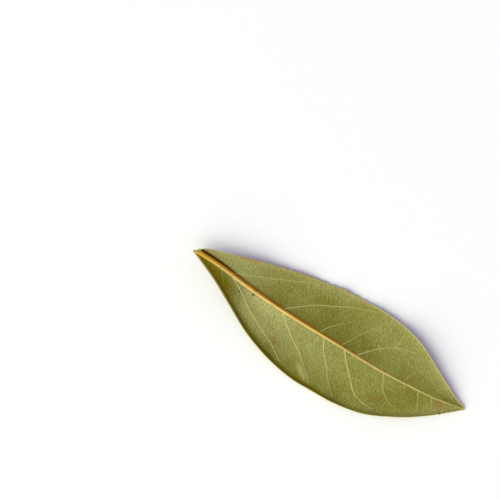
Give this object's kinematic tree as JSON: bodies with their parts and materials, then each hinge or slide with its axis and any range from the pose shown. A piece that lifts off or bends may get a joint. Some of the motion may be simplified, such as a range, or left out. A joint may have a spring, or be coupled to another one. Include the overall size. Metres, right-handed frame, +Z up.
{
  "type": "dried bay leaf",
  "caption": "Dried bay leaf lying with its underside up: pointed oval blade, raised midrib with a short cut end, wavy curled margins.",
  "frame": {"origin": "middle of the leaf's box, on the surface that the leaf lies on", "axes": "+X along the leaf from the cut base end of the midrib to the tip, +Z up, out of the leaf's underside, which faces up"},
  "size_m": [0.08, 0.0272, 0.005],
  "materials": {
    "dried_leaf": "matte"
  },
  "bodies": {
    "root": {"bay_leaf": "dried_leaf"}
  },
  "joints": []
}
